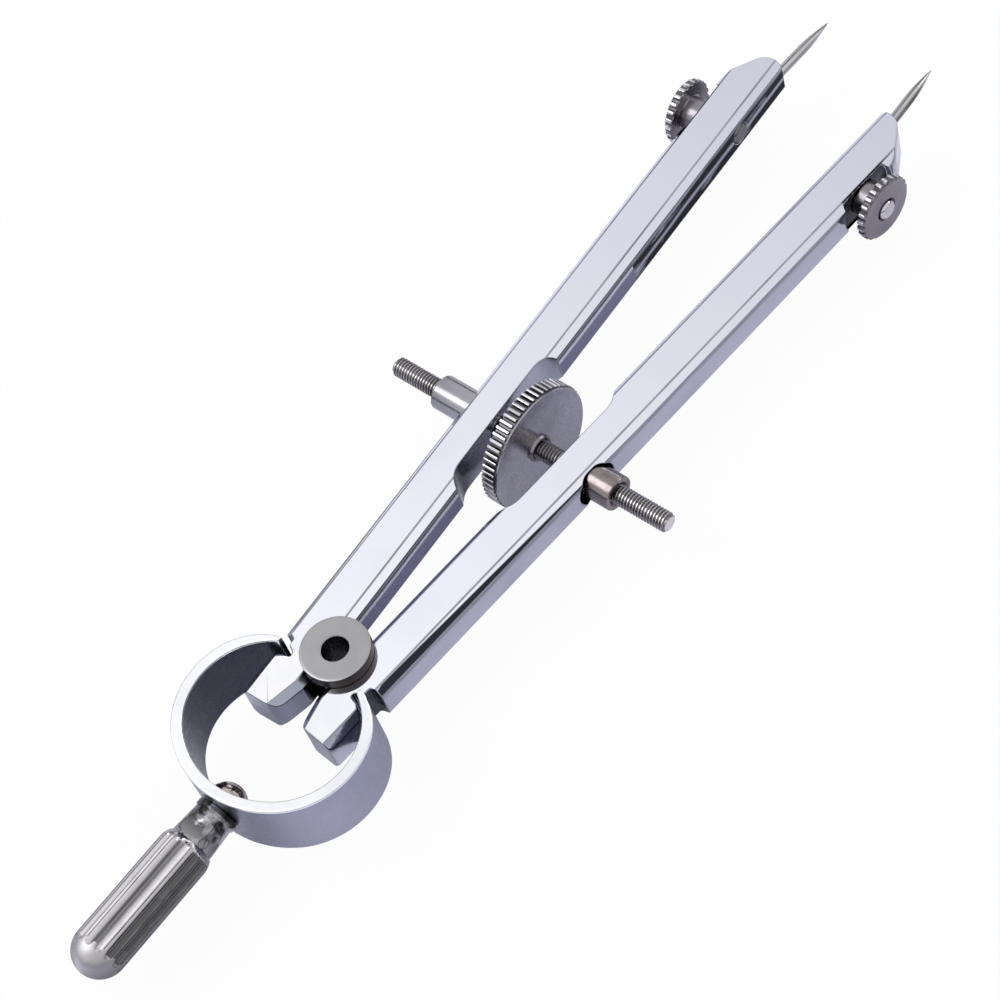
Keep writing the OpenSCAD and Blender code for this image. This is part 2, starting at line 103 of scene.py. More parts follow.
def paintedBandColor(tree, add, coords, paintedBands):
    # painted reflection and shade: a ramp of colours along one axis or around the Y axis, with
    # wavering borders
    if paintedBands["along"] == "around":
        place = add("ShaderNodeMapping")
        place.inputs["Rotation"].default_value = (-math.pi / 2, 0, 0)
        tree.links.new(coords.outputs["Object"], place.inputs["Vector"])
        sweep = add("ShaderNodeTexGradient", gradient_type="RADIAL")
        tree.links.new(place.outputs["Vector"], sweep.inputs["Vector"])
        value = sweep.outputs["Fac"]
    elif paintedBands["along"] == "across":
        # distance across a leg from its middle line, less a share of the height
        half = add("ShaderNodeVectorMath", operation="ABSOLUTE")
        tree.links.new(coords.outputs["Object"], half.inputs[0])
        parts = add("ShaderNodeSeparateXYZ")
        tree.links.new(half.outputs["Vector"], parts.inputs["Vector"])
        wide = scaled(tree, parts.outputs["X"], legCos)
        tall = scaled(tree, parts.outputs["Y"], legSin + paintedBands.get("tilt", 0.0))
        less = add("ShaderNodeMath", operation="SUBTRACT")
        tree.links.new(wide, less.inputs[0])
        tree.links.new(tall, less.inputs[1])
        value = less.outputs[0]
    else:
        parts = add("ShaderNodeSeparateXYZ")
        tree.links.new(coords.outputs["Object"], parts.inputs["Vector"])
        value = parts.outputs[paintedBands["along"]]
    if "waver" in paintedBands:
        stretch = add("ShaderNodeMapping")
        stretch.inputs["Scale"].default_value = paintedBands["grain"]
        tree.links.new(coords.outputs["Object"], stretch.inputs["Vector"])
        drift = add("ShaderNodeTexNoise", Scale=1.0, Detail=2.0)
        tree.links.new(stretch.outputs["Vector"], drift.inputs["Vector"])
        shift = add("ShaderNodeMath", operation="MULTIPLY_ADD")
        shift.inputs[1].default_value = paintedBands["waver"]
        tree.links.new(drift.outputs["Fac"], shift.inputs[0])
        tree.links.new(value, shift.inputs[2])
        value = shift.outputs[0]
    span = add("ShaderNodeMapRange")
    span.inputs["From Min"].default_value, span.inputs["From Max"].default_value = paintedBands["span"]
    tree.links.new(value, span.inputs["Value"])
    ramp = add("ShaderNodeValToRGB")
    tree.links.new(span.outputs["Result"], ramp.inputs["Fac"])
    stops = ramp.color_ramp.elements
    for spot, color in paintedBands["stops"][2:]:
        stops.new(spot)
    # places first and colours after, because the ramp keeps itself in order
    for stop, (spot, color) in zip(stops, sorted(paintedBands["stops"])):
        stop.position = spot
    for stop, (spot, color) in zip(stops, sorted(paintedBands["stops"])):
        stop.color = (*color, 1)
    return ramp.outputs["Color"]


plating = {  # what a finish has unless it says otherwise
    "cloudScale": 90, "cloudStretch": (1, 1, 1), "stainFrom": 0.45, "stainTo": 0.75,
    "rubScale": 900, "rubFrom": 0.3, "rubTo": 0.7,
    "grainScale": 3500, "grainStrength": 0.05, "grainDepth": 0.00002,
}


def metal(name, own):
    look = {**plating, **own}
    mat = bpy.data.materials.new(name)
    mat.use_nodes = True
    tree, add = nodeTools(mat)
    shader = tree.nodes["Principled BSDF"]
    shader.inputs["Metallic"].default_value = 1.0
    if "edgeTint" in look:
        shader.inputs["Specular Tint"].default_value = (*look["edgeTint"], 1)
    coords = add("ShaderNodeTexCoord")
    # cloudy change of colour over the plating
    cloud = add("ShaderNodeTexNoise", Scale=look["cloudScale"], Detail=3.0)
    drawn = add("ShaderNodeMapping")
    drawn.inputs["Scale"].default_value = look["cloudStretch"]
    tree.links.new(coords.outputs["Object"], drawn.inputs["Vector"])
    tree.links.new(drawn.outputs["Vector"], cloud.inputs["Vector"])
    tint = add("ShaderNodeMix", data_type="RGBA")
    tint.inputs[7].default_value = (*look["stain"], 1)
    if "paintedBands" in look:
        tree.links.new(paintedBandColor(tree, add, coords, look["paintedBands"]), tint.inputs[6])
    else:
        tint.inputs[6].default_value = (*look["color"], 1)
    finalColor = tint.outputs[2]
    # painted dark reflection lines, multiplied over the colour
    for lines in look.get("lines", ()):
        darker = add("ShaderNodeMix", data_type="RGBA", blend_type="MULTIPLY")
        darker.inputs[0].default_value = 1.0
        tree.links.new(finalColor, darker.inputs[6])
        tree.links.new(paintedBandColor(tree, add, coords, lines), darker.inputs[7])
        finalColor = darker.outputs[2]
    spread = add("ShaderNodeMapRange")
    spread.inputs["From Min"].default_value = look["stainFrom"]
    spread.inputs["From Max"].default_value = look["stainTo"]
    tree.links.new(cloud.outputs["Fac"], spread.inputs["Value"])
    tree.links.new(spread.outputs["Result"], tint.inputs[0])
    tree.links.new(finalColor, shader.inputs["Base Color"])
    # fine change of gloss
    rub = add("ShaderNodeTexNoise", Scale=look["rubScale"], Detail=4.0)
    tree.links.new(coords.outputs["Object"], rub.inputs["Vector"])
    gloss = add("ShaderNodeMapRange")
    gloss.inputs["From Min"].default_value = look["rubFrom"]
    gloss.inputs["From Max"].default_value = look["rubTo"]
    gloss.inputs["To Min"].default_value = look["roughness"][0]
    gloss.inputs["To Max"].default_value = look["roughness"][1]
    tree.links.new(rub.outputs["Fac"], gloss.inputs["Value"])
    tree.links.new(gloss.outputs["Result"], shader.inputs["Roughness"])
    # surface relief: turned rings or a soft waviness, with fine grain on top
    if "turned" in look:
        turned = look["turned"]
        place = add("ShaderNodeMapping")
        place.inputs["Location"].default_value = turned.get("shift", (0, 0, 0))
        tree.links.new(coords.outputs["Object"], place.inputs["Vector"])
        rings = add("ShaderNodeTexWave", wave_type="RINGS", rings_direction=turned["axis"],
                    Scale=turned["scale"], Distortion=0.6, Detail=2.0)
        rings.inputs["Detail Scale"].default_value = 2.0
        tree.links.new(place.outputs["Vector"], rings.inputs["Vector"])
        height = rings.outputs["Fac"]
        strength, depth = turned["strength"], turned["depth"]
    else:
        wave = add("ShaderNodeTexNoise", Scale=look["waveScale"], Detail=1.0)
        tree.links.new(coords.outputs["Object"], wave.inputs["Vector"])
        height = wave.outputs["Fac"]
        strength, depth = look["waveStrength"], look["waveDepth"]
    grain = add("ShaderNodeTexNoise", Scale=look["grainScale"], Detail=2.0)
    tree.links.new(coords.outputs["Object"], grain.inputs["Vector"])
    fine = add("ShaderNodeBump", Strength=look["grainStrength"], Distance=look["grainDepth"])
    coarse = add("ShaderNodeBump", Strength=strength, Distance=depth)
    tree.links.new(grain.outputs["Fac"], fine.inputs["Height"])
    tree.links.new(height, coarse.inputs["Height"])
    tree.links.new(coarse.outputs["Normal"], fine.inputs["Normal"])
    tree.links.new(fine.outputs["Normal"], shader.inputs["Normal"])
    return mat


# a finish has one colour or a ramp of bands of painted reflection and shade, and a stain that
# clouds it
finishes = {
    # leg front face: painted reflection, lighter towards the pivot, with painted dark reflection
    # lines along the chamfers
    "legChromePaintedReflection": {
        "stain": (0.66, 0.68, 0.77), "roughness": (0.04, 0.09),
        "stainFrom": 0.5, "stainTo": 1.6,
        "waveScale": 210, "waveStrength": 0.10, "waveDepth": 0.00006, "grainStrength": 0.02,
        "paintedBands": {"along": "Y", "span": (0.0, 0.11), "stops": [
            (0.0, (0.9, 0.9, 1.0)), (1.0, (0.6, 0.6, 0.7))]},
        "lines": [
            {"along": "across", "span": (0.00160, 0.00900), "stops": [
                (0.0, (0.40, 0.40, 0.40)), (0.024, (1, 1, 1)), (0.143, (1, 1, 1)),
                (0.150, (0.50, 0.50, 0.52)), (0.157, (1, 1, 1)), (0.833, (1, 1, 1)),
                (0.840, (0.42, 0.42, 0.45)), (0.847, (1, 1, 1)), (0.955, (1, 1, 1)),
                (0.975, (0.40, 0.40, 0.42))]},
            {"along": "across", "tilt": 0.017, "span": (0.0077, 0.0082), "waver": 0.0001,
             "grain": (200, 60, 200), "stops": [(0.40, (1, 1, 1)), (0.62, (0.03, 0.03, 0.04))]}],
    },
    # leg outer sides: painted reflection, darkening to a dark streak towards the front edge
    "legSidePaintedReflection": {
        "stain": (0.48, 0.49, 0.57), "roughness": (0.06, 0.14),
        "waveScale": 210, "waveStrength": 0.12, "waveDepth": 0.00006, "grainStrength": 0.03,
        "paintedBands": {"along": "Z", "span": (-0.0024, 0.0024), "waver": 0.0003,
                  "grain": (40, 40, 300), "stops": [
                      (0.0, (0.6, 0.6, 0.7)), (0.8, (0.5, 0.5, 0.6)), (1.0, (0.1, 0.1, 0.1))]},
    },
    # leg inner sides: painted reflection, dark, with a bright band and a black line near the front
    # edge
    "legInnerPaintedReflection": {
        "stain": (0.20, 0.205, 0.26), "roughness": (0.08, 0.16),
        "stainFrom": 0.52, "stainTo": 0.9,
        "waveScale": 210, "waveStrength": 0.12, "waveDepth": 0.00006, "grainStrength": 0.005,
        "paintedBands": {"along": "Z", "span": (-0.0024, 0.0030), "waver": 0.0007,
                  "grain": (60, 60, 260), "stops": [
                      (0.0, (0.2, 0.2, 0.3)), (0.6, (0.2, 0.2, 0.3)),
                      (0.7, (0.8, 0.8, 0.9)), (0.8, (0.05, 0.05, 0.05)),
                      (1.0, (0.5, 0.5, 0.6))]},
    },
    # upper inner sides: painted reflection, black bands and a bright line, with the stain's light
    # mottle as painted highlights
    "legInnerTopPaintedReflection": {
        "stain": (0.52, 0.53, 0.60), "roughness": (0.08, 0.16),
        "stainFrom": 0.54, "stainTo": 0.70, "cloudScale": 520, "cloudStretch": (1, 0.22, 1.4),
        "edgeTint": (0.45, 0.45, 0.48),
        "waveScale": 210, "waveStrength": 0.12, "waveDepth": 0.00006, "grainStrength": 0.03,
        "paintedBands": {"along": "Z", "span": (-0.0024, 0.0030), "waver": 0.0010,
                  "grain": (90, 90, 300), "stops": [
                      (0.0, (0.05, 0.05, 0.05)), (0.4, (0.05, 0.05, 0.05)),
                      (0.5, (0.6, 0.6, 0.7)), (0.6, (0.05, 0.05, 0.05)),
                      (0.8, (0.05, 0.05, 0.05)), (1.0, (0.6, 0.6, 0.7))]},
    },
    # rounded leg edges: painted dark reflection lines
    "legEdgePaintedLine": {
        "color": (0.34, 0.35, 0.40), "stain": (0.20, 0.205, 0.24), "roughness": (0.08, 0.18),
        "waveScale": 600, "waveStrength": 0.10, "waveDepth": 0.00004, "grainStrength": 0.03,
    },
    # milled relief: painted shade, darkest across its middle
    "legReliefPaintedShade": {
        "stain": (0.50, 0.51, 0.60), "roughness": (0.10, 0.20),
        "waveScale": 210, "waveStrength": 0.12, "waveDepth": 0.00006, "grainStrength": 0.01,
        "paintedBands": {"along": "Y", "span": (0.0285, 0.0350), "waver": 0.0006,
                  "grain": (300, 300, 300), "stops": [
                      (0.0, (0.5, 0.5, 0.6)), (0.5, (0.05, 0.05, 0.05)),
                      (1.0, (0.5, 0.5, 0.6))]},
    },
    # head faces: painted highlight, near white
    "headPaintedHighlight": {
        "color": (0.955, 0.955, 0.985), "stain": (0.86, 0.87, 0.93), "roughness": (0.06, 0.12),
        "waveScale": 210, "waveStrength": 0.10, "waveDepth": 0.00006, "grainStrength": 0.02,
    },
    # slanted and side faces of the heads: painted shade
    "headPaintedShade": {
        "color": (0.34, 0.36, 0.44), "stain": (0.24, 0.26, 0.33), "roughness": (0.10, 0.20),
        "waveScale": 300, "waveStrength": 0.20, "waveDepth": 0.00008, "grainStrength": 0.03,
    },
    # notch, seats, recesses and bores: painted shade
    "hollowPaintedShade": {
        "color": (0.075, 0.075, 0.09), "stain": (0.02, 0.02, 0.025), "roughness": (0.20, 0.40),
        "waveScale": 900, "waveStrength": 0.3, "waveDepth": 0.0001, "grainStrength": 0.10,
        "cloudScale": 500,
    },
    # grip: painted reflection stripes round it, a dark side, bright lines and a thin black line
    "handleChromePaintedReflection": {
        "stain": (0.30, 0.285, 0.305), "roughness": (0.20, 0.30),
        "stainFrom": 0.56, "stainTo": 1.1, "cloudScale": 260,
        "waveScale": 500, "waveStrength": 0.12, "waveDepth": 0.00004, "grainStrength": 0.03,
        "paintedBands": {"along": "around", "span": (0.40, 0.95), "waver": 0.01, "grain": (220, 60, 220),
                  "stops": [(0.0, (0.30, 0.29, 0.31)), (0.2, (0.10, 0.10, 0.10)),
                            (0.4, (0.10, 0.10, 0.10)), (0.5, (0.80, 0.78, 0.82)),
                            (0.6, (0.05, 0.05, 0.05)), (0.7, (0.80, 0.78, 0.82)),
                            (1.0, (0.20, 0.19, 0.21))]},
    },
    # rounded edges of the grip's flutes: painted dark reflection lines
    "handleEdgePaintedReflection": {
        "color": (0.20, 0.19, 0.205), "stain": (0.08, 0.075, 0.085), "roughness": (0.20, 0.30),
        "stainFrom": 0.40, "stainTo": 0.60, "cloudScale": 260,
        "waveScale": 500, "waveStrength": 0.12, "waveDepth": 0.00004, "grainStrength": 0.03,
    },
    # neck: painted shade, darker towards the ring; its dents are real relief
    "handleNeckPaintedShade": {
        "stain": (0.62, 0.60, 0.63), "roughness": (0.14, 0.24),
        "stainFrom": 0.50, "stainTo": 0.72, "cloudScale": 420,
        "waveScale": 420, "waveStrength": 1.0, "waveDepth": 0.0012, "grainStrength": 0.01,
        "paintedBands": {"along": "Y", "span": (-0.0328, -0.0282), "waver": 0.0006,
                  "grain": (300, 300, 300), "stops": [
                      (0.0, (0.40, 0.39, 0.41)), (1.0, (0.05, 0.05, 0.05))]},
    },
    # dome: painted shade and painted highlight round it
    "handleDomePaintedLight": {
        "stain": (0.38, 0.37, 0.39), "roughness": (0.38, 0.46),
        "waveScale": 300, "waveStrength": 0.05, "waveDepth": 0.00003, "grainStrength": 0.04,
        "paintedBands": {"along": "around", "span": (0.42, 0.92), "stops": [
            (0.0, (0.10, 0.10, 0.10)), (0.7, (0.60, 0.58, 0.62)), (1.0, (0.20, 0.19, 0.21))]},
    },
    # ring outside: satin plating with painted shade, darker towards the left
    "bowSatinPaintedShade": {
        "stain": (0.31, 0.33, 0.42), "roughness": (0.26, 0.34),
        "waveScale": 120, "waveStrength": 0.06, "waveDepth": 0.00004, "grainStrength": 0.01,
        "paintedBands": {"along": "X", "span": (-0.010, 0.0146), "stops": [
            (0.0, (0.1, 0.1, 0.15)), (1.0, (0.4, 0.4, 0.5))]},
    },
    # ring inside: painted shade
    "bowInnerPaintedShade": {
        "color": (0.085, 0.09, 0.12), "stain": (0.13, 0.135, 0.175), "roughness": (0.24, 0.34),
        "stainFrom": 0.50, "stainTo": 0.80, "cloudScale": 110,
        "waveScale": 200, "waveStrength": 0.08, "waveDepth": 0.00004, "grainStrength": 0.01,
    },
    # ring's flat edge faces: painted highlight, near white
    "bowEdgePaintedHighlight": {
        "color": (0.93, 0.935, 0.97), "stain": (0.80, 0.81, 0.86), "roughness": (0.16, 0.26),
        "waveScale": 500, "waveStrength": 0.15, "waveDepth": 0.00004, "grainStrength": 0.04,
    },
    "rivetDark": {
        "color": (0.56, 0.48, 0.46), "stain": (0.12, 0.10, 0.095), "roughness": (0.14, 0.26),
        "waveScale": 620, "waveStrength": 1.0, "waveDepth": 0.0009, "grainStrength": 0.03,
        "cloudScale": 520,
    },
    "washerNickel": {
        "color": (0.358, 0.352, 0.370), "stain": (0.285, 0.28, 0.295), "roughness": (0.34, 0.42),
        "turned": {"axis": "Z", "scale": 900, "strength": 0.12, "depth": 0.00002},
    },
    # washer rim and back face: painted shade
    "washerRimPaintedShade": {
        "color": (0.030, 0.022, 0.022), "stain": (0.015, 0.012, 0.012), "roughness": (0.30, 0.42),
        "waveScale": 600, "waveStrength": 0.15, "waveDepth": 0.00004, "grainStrength": 0.08,
    },
    # pivot barrel: painted shade of the gap between the heads
    "barrelPaintedShade": {
        "color": (0.12, 0.11, 0.115), "stain": (0.06, 0.055, 0.06), "roughness": (0.18, 0.30),
        "turned": {"axis": "Z", "scale": 1100, "strength": 0.15, "depth": 0.00002},
    },
    "nutSteel": {
        "color": (0.37, 0.365, 0.41), "stain": (0.24, 0.235, 0.27), "roughness": (0.16, 0.28),
        "waveScale": 700, "waveStrength": 0.2, "waveDepth": 0.00004, "grainStrength": 0.08,
    },
    "nutWarm": {
        "color": (0.26, 0.225, 0.23), "stain": (0.12, 0.10, 0.105), "roughness": (0.14, 0.28),
        "waveScale": 700, "waveStrength": 0.3, "waveDepth": 0.00005, "grainStrength": 0.10,
        "cloudScale": 420,
    },
    "screwNickel": {
        "color": (0.66, 0.645, 0.655), "stain": (0.42, 0.40, 0.41), "roughness": (0.14, 0.26),
        "waveScale": 900, "waveStrength": 0.15, "waveDepth": 0.00003, "grainStrength": 0.08,
    },
    # thread roots, one flank and the studs near the leg: painted shade
    "threadPaintedShade": {
        "color": (0.20, 0.19, 0.20), "stain": (0.12, 0.115, 0.12), "roughness": (0.20, 0.34),
        "waveScale": 900, "waveStrength": 0.15, "waveDepth": 0.00003, "grainStrength": 0.08,
    },
    "wheelNickel": {
        "color": (0.46, 0.45, 0.50), "stain": (0.22, 0.215, 0.25), "roughness": (0.20, 0.32),
        "stainFrom": 0.5, "stainTo": 1.0, "cloudScale": 110, "grainStrength": 0.02,
        "turned": {"axis": "X", "shift": (0, -0.0417, 0), "scale": 800, "strength": 0.07,
                   "depth": 0.00002},
    },
    # tooth crests: painted highlight; tooth gaps: painted shade
    "toothPaintedHighlight": {
        "color": (0.66, 0.65, 0.69), "stain": (0.46, 0.45, 0.49), "roughness": (0.16, 0.28),
        "waveScale": 700, "waveStrength": 0.2, "waveDepth": 0.00004, "grainStrength": 0.04,
    },
    "toothGapPaintedShade": {
        "color": (0.13, 0.125, 0.14), "stain": (0.06, 0.058, 0.065), "roughness": (0.22, 0.36),
        "waveScale": 700, "waveStrength": 0.2, "waveDepth": 0.00004, "grainStrength": 0.04,
    },
    "thumbNickel": {
        "color": (0.27, 0.25, 0.28), "stain": (0.17, 0.155, 0.18), "roughness": (0.24, 0.34),
        "waveScale": 500, "waveStrength": 0.10, "waveDepth": 0.00003, "grainStrength": 0.03,
    },
    "studBright": {
        "color": (0.66, 0.64, 0.67), "stain": (0.40, 0.38, 0.41), "roughness": (0.12, 0.22),
        "waveScale": 700, "waveStrength": 0.3, "waveDepth": 0.00008, "grainStrength": 0.05,
    },
    # needles: painted reflection stripes along them, with a dark centre line
    "needleSteelPaintedReflection": {
        "stain": (0.36, 0.34, 0.355), "roughness": (0.14, 0.24),
        "waveScale": 900, "waveStrength": 0.1, "waveDepth": 0.00002, "grainStrength": 0.04,
        "paintedBands": {"along": "across", "tilt": -0.1152, "span": (0.01496, 0.01646), "waver": 0.00008,
                  "grain": (300, 60, 300), "stops": [
                      (0.0, (0.3, 0.3, 0.3)), (0.3, (0.6, 0.6, 0.6)),
                      (0.5, (0.1, 0.1, 0.1)), (0.7, (0.6, 0.6, 0.6)),
                      (1.0, (0.1, 0.1, 0.1))]},
    },
}
paint = {name: metal(name, look) for name, look in finishes.items()}
print("compass: finishes made")


def lathe(bm, points, steps=72):
    # turns a line of (x, radius) points about the X axis
    verts = [bm.verts.new((x, r, 0)) for x, r in points]
    edges = [bm.edges.new(pair) for pair in zip(verts, verts[1:])]
    bmesh.ops.spin(bm, geom=verts + edges, cent=(0, 0, 0), axis=(1, 0, 0), dvec=(0, 0, 0),
                   angle=fullTurn, steps=steps, use_merge=True, use_normal_flip=False,
                   use_duplicate=False)
    bmesh.ops.remove_doubles(bm, verts=bm.verts, dist=0.0005)


def roundEdges(bm, width, segments=2, above=25, zone=0):
    # the new faces along the edges take the zone's number
    sharp = [e for e in bm.edges if e.is_manifold and e.calc_face_angle(0) > math.radians(above)]
    made = bmesh.ops.bevel(bm, geom=sharp, offset=width, offset_type="OFFSET", affect="EDGES",
                           segments=segments, profile=0.5, clamp_overlap=False, material=-1)
    for face in made["faces"]:
        face.material_index = zone


def finishPiece(bm, name, matrix, body, finish, stands, smooth=32, zones=(), pick=None):
    # zones are further finishes, 1 onwards; pick gives a face's zone from its middle and normal
    bm.normal_update()
    for face in bm.faces:
        if pick and face.material_index == 0:
            face.material_index = pick(face.calc_center_median(), face.normal)
    bmesh.ops.transform(bm, matrix=toMetres @ matrix, verts=bm.verts)
    bmesh.ops.recalc_face_normals(bm, faces=bm.faces)
    mesh = bpy.data.meshes.new(name)
    bm.to_mesh(mesh)
    bm.free()
    mesh.polygons.foreach_set("use_smooth", [True] * len(mesh.polygons))
    mesh.set_sharp_from_angle(angle=math.radians(smooth))
    piece = bpy.data.objects.new(name, mesh)
    scene.collection.objects.link(piece)
    for each in (finish, *zones):
        mesh.materials.append(paint[each])
    # large flat faces keep their own normal, and the rounded edges carry the turn
    level = piece.modifiers.new("faceWeight", "WEIGHTED_NORMAL")
    level.keep_sharp = True
    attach(piece, body)
    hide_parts(*stands)
    return piece


def solidCopy(node):
    # a merged copy of a CAD solid in millimetres, its flat faces whole again
    bm = bmesh.new()
    bm.from_mesh(nodes[node].data)
    bmesh.ops.scale(bm, vec=(1000, 1000, 1000), verts=bm.verts)
    bmesh.ops.remove_doubles(bm, verts=bm.verts, dist=0.001)
    bmesh.ops.dissolve_limit(bm, angle_limit=math.radians(0.6), verts=bm.verts, edges=bm.edges,
                             delimit={"NORMAL"})
    return bm


def onScrew(x=0.0, flip=False):
    # places a piece turned about X on the adjusting screw's axis
    spot = Matrix.Translation((x, screwHeight, 0))
    return spot @ Matrix.Rotation(math.pi, 4, "Z") if flip else spot


def onLeg(way, along):
    # X runs outwards across the leg from the pivot's middle line, Y along the leg
    axes = Matrix(((way * legCos, way * legSin, 0, 0), (-legSin, legCos, 0, 0),
                   (0, 0, 1, 0), (0, 0, 0, 1)))
    return axes @ Matrix.Translation((0, along, 0))


legLook = {
    "edge": 0.16, "segments": 3,
    "inner": 1.69, "outer": 8.85,  # the bar's inner and outer faces
    "seat": 42.3, "seatReach": 5,  # the sleeve nut's seat
    "clamp": 101.2, "clampReach": 5.6,  # the thumb nut's recess
    "notch": (-5, 1.5), "notchFloor": 6.2, "hollowsFrom": 3.5,
    "reliefLow": 29.5, "lowChamfer": 1.6,
    "streaks": 74, "streakSlope": 0.6,  # where the inner side's painted dark reflection starts
    "head": -2.6, "headInner": -3.5, "taper": -6.3,
}
legZones = ("legEdgePaintedLine", "legSidePaintedReflection", "legInnerPaintedReflection", "headPaintedShade", "hollowPaintedShade", "legInnerTopPaintedReflection", "headPaintedHighlight",
            "legReliefPaintedShade")


# picks which painted reflection, highlight or shade each face of a leg takes
def legZone(way, look):
    zone = {finish: number for number, finish in enumerate(legZones, 1)}
    low, high = look["notch"]

    def pick(middle, normal):
        across = way * middle.x * legCos - middle.y * legSin
        along = way * middle.x * legSin + middle.y * legCos
        outwards = way * normal.x * legCos - normal.y * legSin
        if abs(normal.z) > 0.5 and along < look["head"]:
            return zone["headPaintedShade"] if normal.x > 0.2 else zone["headPaintedHighlight"]
        if abs(normal.z) > 0.5:
            return 0
        if look["hollowsFrom"] < across < look["outer"] - 0.05:
            inNotch = low < along < high and across > look["notchFloor"]
            if inNotch or abs(along - look["seat"]) < look["seatReach"]:
                return zone["hollowPaintedShade"]
            if abs(along - look["clamp"]) < look["clampReach"]:
                shaded = along < look["clamp"] or outwards > 0.5
                return zone["hollowPaintedShade"] if shaded else zone["legSidePaintedReflection"]
        if along < look["headInner"]:
            return zone["headPaintedShade"] if outwards < 0.5 else zone["legSidePaintedReflection"]
        pastRelief = along > look["reliefLow"] - 3
        if outwards < 0.3 and across > look["inner"] + 0.1 and pastRelief:
            return zone["legReliefPaintedShade"]
        lowEdge = across < look["inner"] + look["lowChamfer"] and along < look["reliefLow"] + 4
        if outwards < -0.3 or lowEdge:
            return zone["legInnerTopPaintedReflection"] if along > look["streaks"] else zone["legInnerPaintedReflection"]
        return zone["legSidePaintedReflection"]

    return pick


for side, way in sides.items():
    leg = solidCopy(side + "_leg")
    roundEdges(leg, legLook["edge"], legLook["segments"], zone=1)
    turn = onLeg(way, 0).to_3x3()
    # cuts across the leg, where one finish ends and the next begins
    for height, slope in ((legLook["streaks"], legLook["streakSlope"]), (legLook["head"], 0),
                          (legLook["taper"], 0)):
        bmesh.ops.bisect_plane(leg, geom=leg.verts[:] + leg.edges[:] + leg.faces[:], dist=0.0001,
                               plane_co=turn @ Vector((0, height, 0)),
                               plane_no=turn @ Vector((slope, 1, 0)))
    finishPiece(leg, side + "Leg", Matrix(), side + "_leg", "legChromePaintedReflection",
                [side + "_leg"], zones=legZones, pick=legZone(way, legLook))
print("compass: legs")

bowLook = {"edge": 0.16, "segments": 3, "middle": (0, -13, 0), "flank": 5.3}


# flat edge faces take the painted highlight, inward faces the painted shade
def bowZone(middle, normal):
    if abs(middle.z) > bowLook["flank"]:
        return 1
    away = middle - Vector(bowLook["middle"])
    return 2 if normal.dot(Vector((away.x, away.y, 0))) < 0 else 0


bow = solidCopy("bow_spring")
roundEdges(bow, bowLook["edge"], bowLook["segments"], 20, zone=1)
finishPiece(bow, "bowSpring", Matrix(), "bow", "bowSatinPaintedShade", ["bow_spring"], 40,
            zones=("bowEdgePaintedHighlight", "bowInnerPaintedShade"), pick=bowZone)

handleLook = {"edge": 0.08, "segments": 2, "neckEnd": -32.6, "domeStart": -49.4}


# the neck and the dome take their painted shade and highlight
def handleZone(middle, normal):
    if middle.y > handleLook["neckEnd"]:
        return 2
    return 3 if middle.y < handleLook["domeStart"] else 0


grip = solidCopy("handle")
roundEdges(grip, handleLook["edge"], handleLook["segments"], 18, zone=1)
for face in grip.faces:  # off the grip the rounded edges look like the neck or the dome
    if not handleLook["domeStart"] < face.calc_center_median().y < handleLook["neckEnd"]:
        face.material_index = 0
finishPiece(grip, "handleGrip", Matrix(), "bow", "handleChromePaintedReflection", ["handle"], 40,
            zones=("handleEdgePaintedReflection", "handleNeckPaintedShade", "handleDomePaintedLight"), pick=handleZone)

rivet = solidCopy("handle_rivet")
finishPiece(rivet, "handleRivet", Matrix(), "bow", "rivetDark", ["handle_rivet"])
print("compass: bow and handle")

washerLook = {"inner": 2.51, "outer": 5.015, "back": 3.29, "front": 5.12, "bevel": 0.16,
              "hole": 2.05, "lip": 0.03}


def washer(name, flip, look):
    r0, r1, z0, z1, e = (look[k] for k in ("inner", "outer", "back", "front", "bevel"))
    bm = bmesh.new()
    lip = look["lip"]  # a thin rim, swaged over the spigot's end
    lathe(bm, [(z0, r0), (z0, r1 - e), (z0 + e, r1), (z1 - e, r1), (z1 - e * 0.3, r1 - e * 0.3),
               (z1, r1 - e), (z1 + lip, r1 - e * 3), (z1 + lip, look["hole"]),
               (z1 + lip * 0.3, look["hole"]), (z1 + lip * 0.2, r0), (z0, r0)], 96)
    turn = Matrix.Rotation(math.pi / 2 if flip else -math.pi / 2, 4, "Y")
    # the rim and the back face take painted shade
    finishPiece(bm, name + "Washer", turn, "bow", "washerNickel",
                [name + "_washer"], zones=("washerRimPaintedShade",),
                pick=lambda middle, normal: 1 if abs(normal.x) < 0.5 or middle.x < z0 + 0.1 else 0)


washer("front", False, washerLook)
washer("rear", True, washerLook)

barrel = solidCopy("pivot_barrel")
# the barrel and its bore take painted shade; the end faces match the washers
finishPiece(barrel, "pivotBarrel", Matrix(), "bow", "barrelPaintedShade",
            ["pivot_barrel"], zones=("hollowPaintedShade", "washerNickel"), pick=lambda middle, normal:
            1 if math.hypot(middle.x, middle.y) < 2.02 else 2 if abs(middle.z) > 4.9 else 0)
print("compass: pivot")

screwLook = {"left": -25.9, "right": 24.0, "radius": 1.5, "root": 1.2, "pitch": 0.5,
             "steps": 20, "lead": 0.4}


